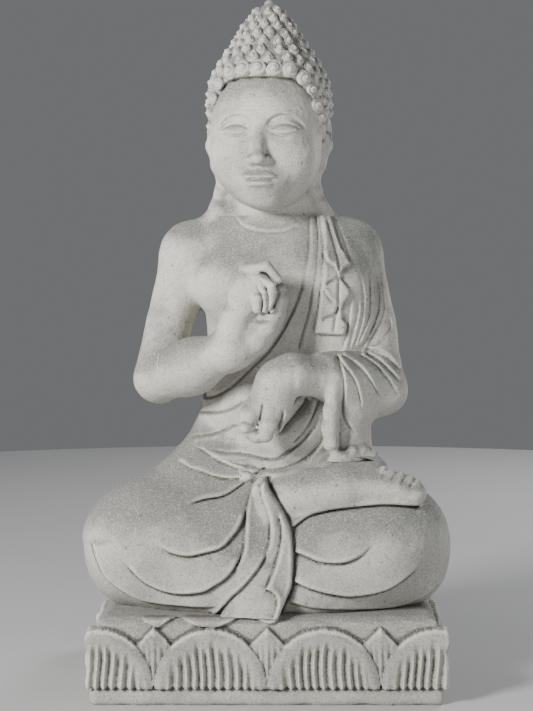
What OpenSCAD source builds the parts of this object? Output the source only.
// Seated stone statue on a lotus plinth, built from carved blocks that are pinned with steel
// dowels and bedded in mortar. The front of the statue faces -Y and +Z is up. The origin is at
// the middle of the underside. All sizes are in millimetres.

/* [Plinth] */
// Width of the lotus plinth, across its petals
plinth_w = 500; // [415:5:600]
// Depth of the lotus plinth, across its petals
plinth_d = 350; // [320:5:400]
// Height of the foot slab under the petals
slab_h = 24; // [20:1:40]
// Distance that the foot slab stands back from the petals
slab_inset = 7; // [2:1:12]
// Radius of the rounded edge of the foot slab
slab_round = 9; // [4:0.5:9.5]
// Height of the band of petals
band_h = 82; // [70:1:100]
// Height of the sloping top above the petals
slope_h = 12; // [6:1:20]
// Number of petals along the front, counting the two that wrap round the corners
petals_front = 4; // [3:1:6]
// Number of petals along each side, counting the two that wrap round the corners
petals_side = 3; // [2:1:5]
// Distance from a corner of the plinth to the middle of the petal that wraps round it
corner_petal = 17; // [8:1:30]
// Thickness of the petals in front of the band
petal_t = 8; // [4:1:14]
// Share of the petals' thickness that the pointed petals between them have
point_share = 0.55; // [0.3:0.05:0.8]
// Half the width of a pointed petal
point_w = 26; // [16:1:34]

/* [Figure] */
// Width across the knees
lap_w = 528; // [470:2:580]
// Depth of the crossed legs
lap_d = 318; // [290:2:340]
// Height of the leg block
lap_h = 206; // [180:1:240]
// Height of the torso block, from the waist joint to the neck joint
torso_h = 352; // [293:1:423]
// Width of the chest without the arms
chest_w = 240; // [210:1:270]
// Depth of the chest
chest_d = 174; // [150:1:200]
// Distance between the middles of the shoulders
shoulder_w = 234; // [220:1:270]
// Distance between the middles of the elbows
elbow_w = 326; // [290:1:350]
// Distance that the left elbow hangs below the right one
elbow_drop = 12; // [0:1:20]
// Radius of the shoulders
shoulder_r = 47; // [40:1:54]
// Radius of the elbows
elbow_r = 37; // [31:0.1:44.4]
// Radius of the wrists
wrist_r = 28; // [24:1:34]

/* [Head] */
// Height of the head block, from the neck joint to the topknot joint
head_h = 249; // [225:1:280]
// Width of the head across the hair
head_w = 190; // [165:1:215]
// Depth of the head, from the hair at the back to the brow
head_d = 206; // [180:1:230]
// Turn of the head to its own right
head_turn = 7; // [0:1:15]
// Radius of the neck
neck_r = 54; // [46:1:60]
// Height of the topknot above its joint
topknot_h = 75; // [60:1:95]
// Radius of the topknot at its joint
topknot_r = 62; // [54:1:70]

/* [Joints] */
// Depth of the pocket that holds each bed of mortar
bed_t = 3; // [2:0.1:5]
// Radius of the thick dowels in the legs, waist and neck
big_dowel_r = 8; // [6:0.1:10]
// Length of the thick dowels
big_dowel_l = 120; // [90:2:140]
// Radius of the thin dowels in the slab, elbows and topknot
small_dowel_r = 5; // [4:0.5:6]
// Length of the thin dowels in the elbows and topknot
small_dowel_l = 64; // [50:2:80]
// Length of the dowels that pin the slab to the band of petals
slab_dowel_l = 40; // [30:1:50]
// Depth that the slab's dowels reach into the slab
slab_dowel_sink = 15; // [10:1:18]
// Gap round a dowel, which the resin fills
dowel_gap = 0.5; // [0.2:0.1:1.5]
// Distance from the axis of the statue to each dowel in the legs and waist
dowel_x = 62; // [40:1:80]
// Distance from the edges of the plinth to the slab's dowels
slab_dowel_in = 66; // [50:1:90]
// Width of the bed of mortar under the legs
plinth_bed_w = 300; // [200:5:340]
// Depth of the bed of mortar under the legs
plinth_bed_d = 148; // [100:2:170]
// Depth of the bed of mortar in the waist
waist_bed_d = 84; // [60:1:100]
// Distance that the waist's bed reaches past the dowels in it
waist_bed_past = 33; // [20:1:40]
// Width of bare stone round the neck's bed
neck_bed_rim = 16; // [10:1:24]
// Width of bare stone round the topknot's bed
topknot_bed_rim = 26; // [16:1:32]
// Width of bare stone round each elbow's bed
elbow_bed_rim = 12; // [8:1:16]
// Width of bare stone round the slab's bed
slab_bed_rim = 28; // [16:1:50]

/* [Hidden] */
$fn = 32;

// Heights of the joints
band_z = slab_h;
slope_z = band_z + band_h;
lap_z = slope_z + slope_h;
waist_z = lap_z + lap_h;
neck_z = waist_z + torso_h;
crown_z = neck_z + head_h;

stone_colour = [0.62, 0.61, 0.57];
mortar_colour = [0.74, 0.71, 0.64];
steel_colour = [0.55, 0.57, 0.60];
eps = 1;
// Further than any piece reaches
far = 500;

// ---- Places that several pieces share ----

// Middle of the torso at its base, which stands behind the middle of the plinth
spine_y = 40;
neck_y = 32;
crown_y = 22;
// Heights above the waist joint
shoulder_up = 0.845 * torso_h;
elbow_up = 0.32 * torso_h;

// Middles of the shoulders and elbows, from front to back
shoulder_y = 34;
elbow_y = -8;
function shoulder(side) = [side * shoulder_w / 2, shoulder_y, waist_z + shoulder_up];
function elbow(side) = [side * elbow_w / 2, elbow_y, waist_z + elbow_up - (side > 0 ? elbow_drop : 0)];

chest_front = spine_y - chest_d / 2;
// The raised right wrist and the lowered left one stand in front of the chest
right_wrist = [-48, chest_front - 44, waist_z + 0.455 * torso_h];
left_wrist = [46, chest_front - 56, waist_z + 0.345 * torso_h];

// Each elbow joint is square to its forearm, this far along it from the middle of the elbow
elbow_joint = 34;
function unit(v) = v / norm(v);
function joint_at(from, to) = from + elbow_joint * unit(to - from);

// ---- Shapes ----

// A rounded lump
module lump(at, size) {
    translate(at) scale(size) sphere(r = 1, $fn = 28);
}

// A limb that tapers from one round end to the other
module limb(a, ra, b, rb) {
    hull() {
        translate(a) sphere(r = ra, $fn = 24);
        translate(b) sphere(r = rb, $fn = 24);
    }
}

// Turns and moves a shape from the origin's +Z to a point, along a direction
module point_along(at, dir) {
    u = unit(dir);
    translate(at) rotate([0, acos(u.z), atan2(u.y, u.x)]) children();
}

// Keeps the part of a form between two heights
module between(z0, z1) {
    intersection() {
        children();
        translate([-far, -far, z0]) cube([2 * far, 2 * far, z1 - z0]);
    }
}

// Joins a carved form into one mesh, so that the holes drilled in it stay true cylinders
module carved() {
    resize([0, 0, 0]) children();
}

// A surface through rounded sections. Each section is [height, middle y, half width, half depth].
loft_sides = 36;
function section_ring(s) = [
    for (i = [0 : loft_sides - 1])
        let (a = 360 * i / loft_sides)
            [s[2] * cos(a), s[1] + s[3] * sin(a), s[0]]
];
module loft(sections) {
    last = len(sections) - 1;
    points = [for (s = sections) each section_ring(s)];
    bottom = [for (i = [0 : loft_sides - 1]) i];
    top = [for (i = [loft_sides - 1 : -1 : 0]) last * loft_sides + i];
    sides = [
        for (k = [0 : last - 1], i = [0 : loft_sides - 1])
            let (j = (i + 1) % loft_sides, a = k * loft_sides, b = a + loft_sides)
                each [[a + i, b + i, a + j], [b + i, b + j, a + j]]
    ];
    polyhedron(points = points, faces = concat([bottom], sides, [top]));
}

// ---- Joints ----

// Dowels in the legs and waist, one on each side
module paired_dowels(z, r) {
    for (side = [-1, 1])
        translate([side * dowel_x, spine_y, z - big_dowel_l / 2]) cylinder(r = r, h = big_dowel_l);
}
module centre_dowel(y, z, r, length) {
    translate([0, y, z - length / 2]) cylinder(r = r, h = length);
}
module slab_dowel_set(r) {
    for (sx = [-1, 1], sy = [-1, 1])
        translate([
            sx * (plinth_w / 2 - slab_dowel_in),
            sy * (plinth_d / 2 - slab_dowel_in),
            band_z - slab_dowel_sink,
        ])
            cylinder(r = r, h = slab_dowel_l);
}
module elbow_dowel(side, wrist, r) {
    point_along(joint_at(elbow(side), wrist), wrist - elbow(side))
        translate([0, 0, -small_dowel_l / 2]) cylinder(r = r, h = small_dowel_l);
}

// Beds of mortar, in pockets in the lower block of each joint
module slab_bed() {
    w = plinth_w - 2 * slab_inset - 2 * slab_bed_rim;
    d = plinth_d - 2 * slab_inset - 2 * slab_bed_rim;
    translate([-w / 2, -d / 2, band_z - bed_t]) cube([w, d, bed_t]);
}
plinth_bed_y = 8;
module plinth_bed() {
    translate([-plinth_bed_w / 2, plinth_bed_y - plinth_bed_d / 2, lap_z - bed_t])
        cube([plinth_bed_w, plinth_bed_d, bed_t]);
}
waist_bed_w = 2 * (dowel_x + waist_bed_past);
module waist_bed() {
    translate([-waist_bed_w / 2, spine_y - waist_bed_d / 2, waist_z - bed_t])
        cube([waist_bed_w, waist_bed_d, bed_t]);
}
module round_bed(y, z, r) {
    translate([0, y, z - bed_t]) cylinder(r = r, h = bed_t);
}
neck_bed_r = neck_r - neck_bed_rim;
topknot_bed_r = topknot_r - topknot_bed_rim;
elbow_bed_r = elbow_r - elbow_bed_rim;
module elbow_bed(side, wrist) {
    point_along(joint_at(elbow(side), wrist), wrist - elbow(side))
        translate([0, 0, -bed_t]) cylinder(r = elbow_bed_r, h = bed_t);
}

hole_big = big_dowel_r + dowel_gap;
hole_small = small_dowel_r + dowel_gap;

// ---- Plinth ----

// A slab with a rounded edge all round, hulled from thin layers
layer_t = 0.5;
module rounded_slab(w, d, h, r) {
    hull()
        for (a = [0 : 15 : 90])
            let (in = r * (1 - sin(a)), up = r * (1 - cos(a)))
                for (z = [up, h - up - layer_t])
                    translate([-w / 2 + in, -d / 2 + in, z]) cube([w - 2 * in, d - 2 * in, layer_t]);
}

module foot_slab() {
    w = plinth_w - 2 * slab_inset;
    d = plinth_d - 2 * slab_inset;
    color(stone_colour)
        difference() {
            rounded_slab(w, d, slab_h, slab_round);
            slab_bed();
            slab_dowel_set(hole_small);
        }
}

function petal_places(length, count) = [
    for (i = [0 : count - 1]) -length / 2 + corner_petal + i * (length - 2 * corner_petal) / (count - 1)
];
front_pitch = (plinth_w - 2 * corner_petal) / (petals_front - 1);
side_pitch = (plinth_d - 2 * corner_petal) / (petals_side - 1);

// Space between two round petals, and the band left under and over them
petal_gap = 1;
petal_rim = 4;
// Heights of a pointed petal's foot and of its two corners, as shares of the band's height
point_foot = 0.1;
point_corner = 0.68;

// One face of petals: round ones, and a pointed one in each gap. The face looks along -Y.
module petal_face(length, count, pitch, face) {
    r = min((pitch - petal_gap) / 2, band_h - petal_rim);
    translate([0, face, band_z]) {
        for (x = petal_places(length, count)) {
            translate([x, 0, band_h - r - eps]) rotate([-90, 0, 0]) cylinder(r = r, h = petal_t, $fn = 64);
            for (s = [-1, 1])
                translate([x + s * pitch / 2, petal_t, 0]) rotate([90, 0, 0]) pointed_petal();
        }
    }
}

module pointed_petal() {
    linear_extrude(height = petal_t * point_share)
        polygon([
            [0, band_h * point_foot],
            [point_w, band_h * point_corner],
            [0, band_h - eps],
            [-point_w, band_h * point_corner],
        ]);
}

module petals() {
    intersection() {
        for (turn = [0, 180]) {
            rotate([0, 0, turn]) petal_face(plinth_w, petals_front, front_pitch, -plinth_d / 2);
            rotate([0, 0, turn + 90]) petal_face(plinth_d, petals_side, side_pitch, -plinth_w / 2);
        }
        translate([-plinth_w / 2, -plinth_d / 2, band_z]) cube([plinth_w, plinth_d, band_h]);
    }
}

// A flat layer of the plinth, set in from the petals, with its top at a height
top_layer = 2;
module inset_layer(inset, top) {
    translate([-plinth_w / 2 + inset, -plinth_d / 2 + inset, top - top_layer])
        cube([plinth_w - 2 * inset, plinth_d - 2 * inset, top_layer]);
}

// The top slopes in from the petals to the flat under the legs
slope_in = 34;
module sloping_top() {
    hull() {
        inset_layer(petal_t, slope_z);
        inset_layer(slope_in, lap_z);
    }
}

module lotus_plinth() {
    color(stone_colour)
        difference() {
            union() {
                translate([-plinth_w / 2 + petal_t, -plinth_d / 2 + petal_t, band_z])
                    cube([plinth_w - 2 * petal_t, plinth_d - 2 * petal_t, band_h]);
                petals();
                sloping_top();
            }
            plinth_bed();
            slab_dowel_set(hole_small);
            paired_dowels(lap_z, hole_big);
        }
}

// ---- Legs ----

// The crossed legs under their robe, drawn round the statue's axis with the joint at zero, at the
// size in lap_drawn and then scaled to the leg block's own size
lap_drawn = [528, 318, 206];
// Sections of the seat and the robe round it: height, middle y, half width and half depth
seat = [
    [-1, 4, 226, 138], [10, 4, 236, 146], [36, 6, 248, 151], [80, 8, 252, 151],
    [120, 12, 243, 146], [150, 18, 222, 138], [176, 28, 194, 126], [194, 36, 176, 116], [207, 40, 167, 111],
];
module lap_form() {
    loft(seat);
    // Thighs, from the hips to the knees
    for (side = [-1, 1])
        hull() {
            lump([side * 156, -46, 92], [108, 104, 90]);
            lump([side * 96, 26, 112], [96, 100, 82]);
        }
    // Shins that cross in front
    limb([-184, -82, 50], 50, [100, -112, 38], 38);
    limb([184, -82, 50], 50, [-100, -112, 38], 38);
    // The right foot, which lies on the left thigh with its heel at the middle
    limb([22, -100, 176], 36, [172, -98, 180], 25);
    for (i = [0 : 4])
        limb([168, -96 - 4 * i, 198 - 9 * i], 9, [210 - 5 * i, -92 - 4 * i, 190 - 8 * i], 7);
    // The pleats that fan out from the knot down to the plinth
    for (i = [0 : 3])
        limb([0, -122, 188], 12, [-66 + 29 * i, -148, 10], 15);
    limb([4, -122, 184], 12, [38, -140, 84], 15);
}

module lap_block() {
    color(stone_colour)
        difference() {
            translate([0, 0, lap_z])
                scale([lap_w / lap_drawn.x, lap_d / lap_drawn.y, lap_h / lap_drawn.z])
                    resize([0, 0, 0]) between(0, lap_drawn.z) lap_form();
            waist_bed();
            paired_dowels(lap_z, hole_big);
            paired_dowels(waist_z, hole_big);
        }
}

// ---- Torso ----

// Sections of the trunk: share of its height, and shares of the chest's width and depth
trunk = [
    [-0.01, 1.38, 1.26], [0.03, 1.24, 1.20], [0.08, 1.04, 1.08], [0.16, 0.87, 0.95],
    [0.28, 0.83, 0.90], [0.44, 0.88, 0.94], [0.61, 0.97, 1.00], [0.75, 1.04, 1.00],
    [0.86, 1.02, 0.92], [0.94, 0.86, 0.80], [0.98, 0.62, 0.68], [1.01, 0.50, 0.62],
];
module trunk_form() {
    loft([for (s = trunk) [waist_z + s[0] * torso_h, spine_y, s[1] * chest_w / 2, s[2] * chest_d / 2]]);
}
module torso_form() {
    trunk_form();
    for (side = [-1, 1]) {
        limb(shoulder(side), shoulder_r, elbow(side), elbow_r);
        // Slope from the neck to the shoulder
        limb([0, spine_y, neck_z - 44], 46, shoulder(side), shoulder_r);
    }
}

module torso_block() {
    color(stone_colour)
        difference() {
            carved()
                difference() {
                    between(waist_z, neck_z) torso_form();
                    forearm_reach(1, left_wrist);
                    forearm_reach(-1, right_wrist);
                }
            paired_dowels(waist_z, hole_big);
            round_bed(neck_y, neck_z, neck_bed_r);
            centre_dowel(neck_y, neck_z, hole_big, big_dowel_l);
            for (arm = [[1, left_wrist], [-1, right_wrist]]) {
                elbow_dowel(arm[0], arm[1], hole_small);
                elbow_bed(arm[0], arm[1]);
            }
        }
}

// The part of an arm on the hand's side of its elbow joint, clear of the trunk
module forearm_reach(side, wrist) {
    intersection() {
        point_along(joint_at(elbow(side), wrist), wrist - elbow(side))
            translate([-far, -far, 0]) cube(2 * far);
        difference() {
            limb(elbow(side), elbow_r + eps, wrist, elbow_r + eps);
            trunk_form();
        }
    }
}

// ---- Forearms and hands ----

// Radius of a finger
finger_r = 8.5;

module right_hand_form() {
    w = right_wrist;
    // Wrist and back of the hand, raised from the forearm
    limb(w, wrist_r, w + [4, -10, 52], 22);
    lump(w + [12, -14, 84], [32, 21, 34]);
    // Fingers that curl over to the figure's left, from the first at the top
    for (i = [0 : 3]) {
        knuckle = w + [54 - 5 * i, -24 - 2 * i, 114 - 13 * i];
        limb(w + [24, -20, 112 - 14 * i], finger_r, knuckle, finger_r);
        limb(knuckle, finger_r, w + [62 - 8 * i, -14 - 2 * i, 92 - 14 * i], finger_r - 1);
    }
    // The thumb, from the heel of the hand up to the first finger
    limb(w + [18, -2, 6], 24, w + [52, -8, 40], 16);
    limb(w + [52, -8, 40], 16, w + [62, -10, 84], 9);
}

module left_hand_form() {
    w = left_wrist;
    // Back of the hand, bent down from the wrist
    limb(w, wrist_r, w + [-34, -2, -4], 26);
    lump(w + [-38, -4, -24], [33, 21, 44]);
    // Four fingers that point down, from the little one
    for (i = [0 : 3])
        limb(w + [-18 - 12 * i, -6, -36], finger_r + 1, w + [-34 - 13 * i, -6, -78 - 5 * (i % 3)], finger_r);
    // Thumb
    limb(w + [-58, -2, -24], 11, w + [-76, -4, -70], 8);
}

// The robe's sleeve, which falls from the left forearm to the waist joint
module sleeve_form() {
    w = left_wrist;
    // Round the forearm
    limb(w + [46, 12, -2], 33, elbow(1), elbow_r);
    // The drape, and its front edge, which turns out at the hem
    hull() {
        translate(w + [54, 14, -8]) sphere(r = 30, $fn = 20);
        translate([w.x + 60, w.y + 20, waist_z + 24]) sphere(r = 24, $fn = 20);
        translate([w.x + 84, w.y + 44, waist_z + 14]) sphere(r = 18, $fn = 20);
    }
    limb(w + [44, 2, -30], 14, [w.x + 46, w.y + 2, waist_z + 14], 13);
}

module forearm(side, wrist) {
    color(stone_colour)
        difference() {
            carved()
                difference() {
                    union() {
                        limb(elbow(side), elbow_r, wrist, wrist_r);
                        between(waist_z, neck_z) children();
                    }
                    // The arm's side of the elbow joint
                    point_along(joint_at(elbow(side), wrist), wrist - elbow(side))
                        translate([-far, -far, -2 * far]) cube(2 * far);
                    trunk_form();
                }
            elbow_dowel(side, wrist, hole_small);
        }
}

module right_forearm() {
    forearm(-1, right_wrist) right_hand_form();
}
module left_forearm() {
    forearm(1, left_wrist) {
        left_hand_form();
        sleeve_form();
    }
}

// ---- Head ----

module head_form() {
    hw = head_w / 2;
    hd = head_d / 2;
    // Neck
    translate([0, neck_y, neck_z - eps]) cylinder(r = neck_r, h = head_h * 0.4, $fn = 40);
    translate([0, crown_y, 0]) rotate([0, 0, -head_turn]) {
        // Skull under the hair, and the face with its jaw
        lump([0, 4, neck_z + 0.62 * head_h], [hw, hd, 0.47 * head_h]);
        lump([0, -18, neck_z + 0.40 * head_h], [hw * 0.86, hd * 0.80, 0.375 * head_h]);
        // Nose
        limb([0, -hd * 0.93, neck_z + 0.52 * head_h], 7, [0, -hd * 1.02, neck_z + 0.33 * head_h], 10);
        for (side = [-1, 1]) {
            // Ear and its long lobe, which sweeps out to the shoulder
            limb([side * hw * 0.96, 8, neck_z + 0.54 * head_h], 10,
                 [side * hw * 0.82, 6, neck_z + 0.30 * head_h], 9);
            limb([side * hw * 0.82, 6, neck_z + 0.30 * head_h], 9,
                 [side * hw * 0.80, 10, neck_z + 0.12 * head_h], 12);
            limb([side * hw * 0.80, 10, neck_z + 0.12 * head_h], 12,
                 [side * hw * 0.90, 14, neck_z + 0.03 * head_h], 14);
        }
    }
}

// Height of the hair that swells out under the topknot
swell_h = 50;
module head_block() {
    color(stone_colour)
        difference() {
            carved() between(neck_z, crown_z) {
                head_form();
                // The hair swells out to meet the topknot
                translate([0, crown_y, crown_z - swell_h])
                    cylinder(r = topknot_r, h = swell_h + eps, $fn = 40);
            }
            centre_dowel(neck_y, neck_z, hole_big, big_dowel_l);
            round_bed(crown_y, crown_z, topknot_bed_r);
            centre_dowel(crown_y, crown_z, hole_small, small_dowel_l);
        }
}

// Outline of the topknot: shares of its height and of its radius at the joint
topknot_outline = [[0, 0], [0, 1], [0.2, 0.86], [0.4, 0.72], [0.62, 0.53], [0.8, 0.33], [0.93, 0.17], [1, 0]];
module topknot() {
    color(stone_colour)
        difference() {
            translate([0, crown_y, crown_z])
                rotate_extrude($fn = 48)
                    polygon([for (p = topknot_outline) [p[1] * topknot_r, p[0] * topknot_h]]);
            centre_dowel(crown_y, crown_z, hole_small, small_dowel_l);
        }
}

// ---- Mortar beds and dowels ----

module slab_mortar_bed() {
    color(mortar_colour)
        difference() {
            slab_bed();
            slab_dowel_set(hole_small);
        }
}
module plinth_mortar_bed() {
    color(mortar_colour)
        difference() {
            plinth_bed();
            paired_dowels(lap_z, hole_big);
        }
}
module waist_mortar_bed() {
    color(mortar_colour)
        difference() {
            waist_bed();
            paired_dowels(waist_z, hole_big);
        }
}
module neck_mortar_bed() {
    color(mortar_colour)
        difference() {
            round_bed(neck_y, neck_z, neck_bed_r);
            centre_dowel(neck_y, neck_z, hole_big, big_dowel_l);
        }
}
module topknot_mortar_bed() {
    color(mortar_colour)
        difference() {
            round_bed(crown_y, crown_z, topknot_bed_r);
            centre_dowel(crown_y, crown_z, hole_small, small_dowel_l);
        }
}
module elbow_mortar_bed(side, wrist) {
    color(mortar_colour)
        difference() {
            elbow_bed(side, wrist);
            elbow_dowel(side, wrist, hole_small);
        }
}

module steel() { color(steel_colour) children(); }

foot_slab();
lotus_plinth();
lap_block();
torso_block();
right_forearm();
left_forearm();
head_block();
topknot();
slab_mortar_bed();
plinth_mortar_bed();
waist_mortar_bed();
neck_mortar_bed();
topknot_mortar_bed();
elbow_mortar_bed(-1, right_wrist);  // right_elbow_mortar_bed
elbow_mortar_bed(1, left_wrist);  // left_elbow_mortar_bed
steel() slab_dowel_set(small_dowel_r);  // slab_dowels
steel() paired_dowels(lap_z, big_dowel_r);  // plinth_dowels
steel() paired_dowels(waist_z, big_dowel_r);  // waist_dowels
steel() centre_dowel(neck_y, neck_z, big_dowel_r, big_dowel_l);  // neck_dowel
steel() centre_dowel(crown_y, crown_z, small_dowel_r, small_dowel_l);  // topknot_dowel
steel() elbow_dowel(-1, right_wrist, small_dowel_r);  // right_elbow_dowel
steel() elbow_dowel(1, left_wrist, small_dowel_r);  // left_elbow_dowel
